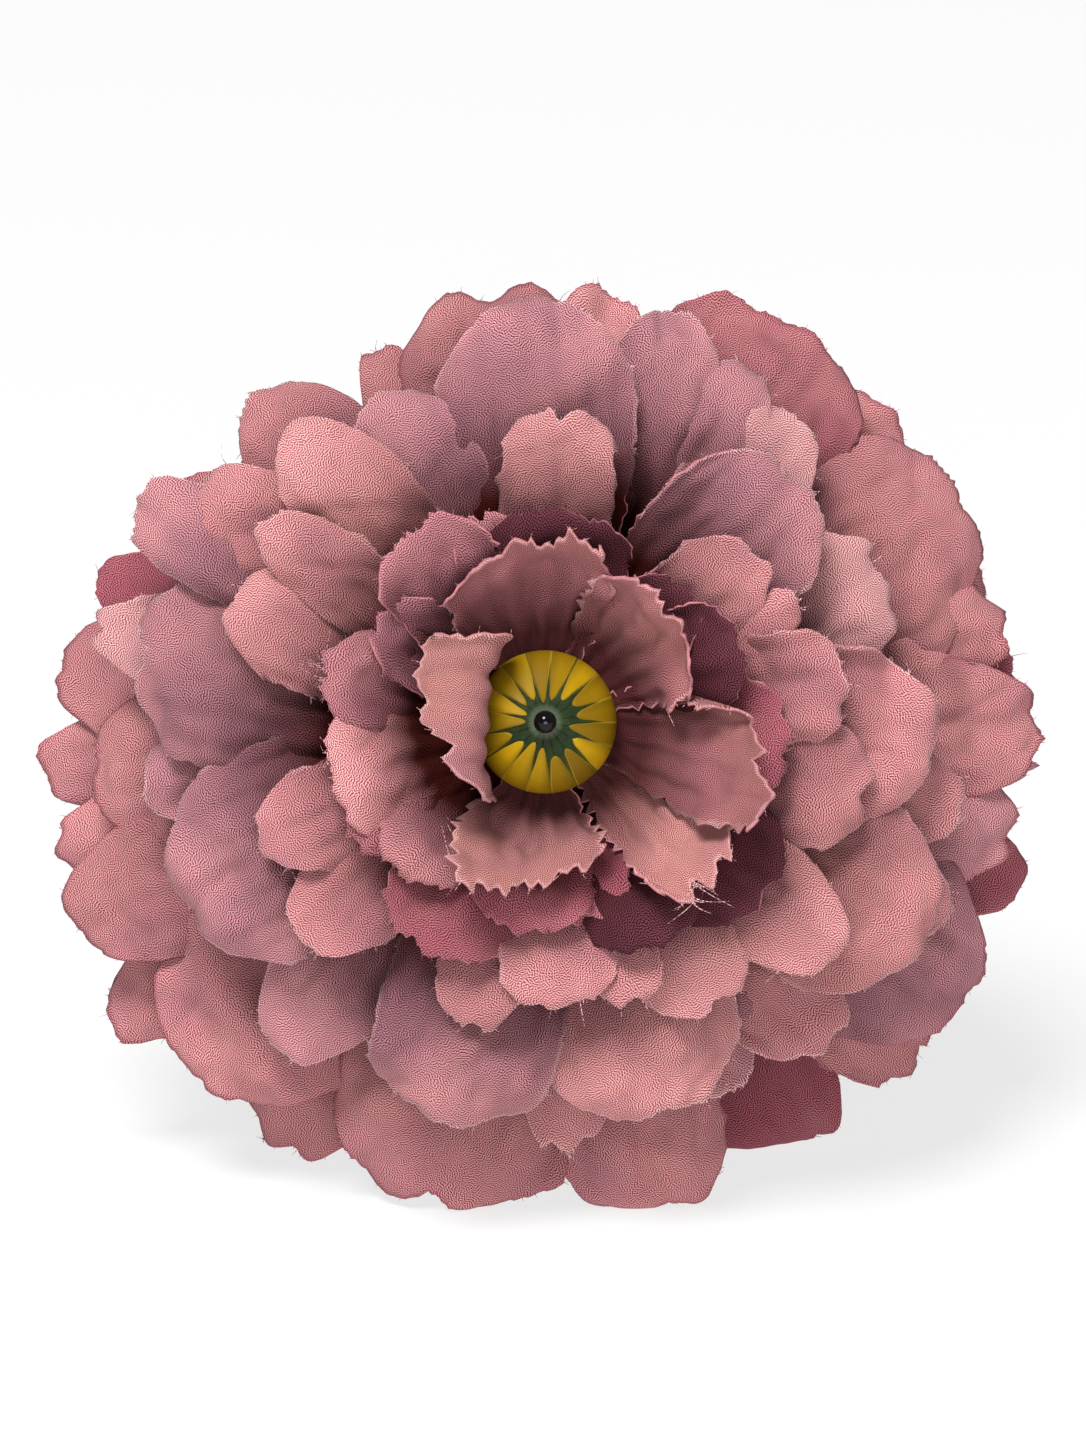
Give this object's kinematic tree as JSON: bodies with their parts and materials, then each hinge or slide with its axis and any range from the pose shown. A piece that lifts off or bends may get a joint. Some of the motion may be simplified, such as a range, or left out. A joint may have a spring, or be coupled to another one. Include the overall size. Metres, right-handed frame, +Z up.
{
  "type": "fabric flower head",
  "caption": "Artificial flower head of layered dusty pink crepe petals round a pinked ruffle, a ribbed yellow and green button and a black pin head.",
  "frame": {"origin": "on the surface that the head stands on, under the middle of its box", "axes": "+Z up, -Y towards the viewer that the flower's face looks at, +X to that viewer's right"},
  "size_m": [0.1142, 0.0683, 0.102],
  "materials": {
    "cloth_ruffle": "matt crepe cloth, pinked edge",
    "cloth_collar": "matt crepe cloth, dyed dark",
    "cloth_small": "matt crepe cloth",
    "cloth_inner": "matt crepe cloth, mauve at the roots",
    "cloth_outer": "matt crepe cloth, dyed darker at the edge",
    "button": "painted satin plastic, yellow rays on green",
    "pin": "glossy black bead",
    "green_plastic": "moulded green plastic"
  },
  "bodies": {
    "root": {"petals_ruffle": "cloth_ruffle", "petals_collar": "cloth_collar", "petals_small": "cloth_small", "petals_inner": "cloth_inner", "petals_middle": "cloth_inner", "petals_outer": "cloth_outer", "petals_back": "cloth_outer", "petals_last": "cloth_outer", "centre_button": "button", "centre_pin": "pin", "peg": "green_plastic", "calyx": "green_plastic"}
  },
  "joints": []
}
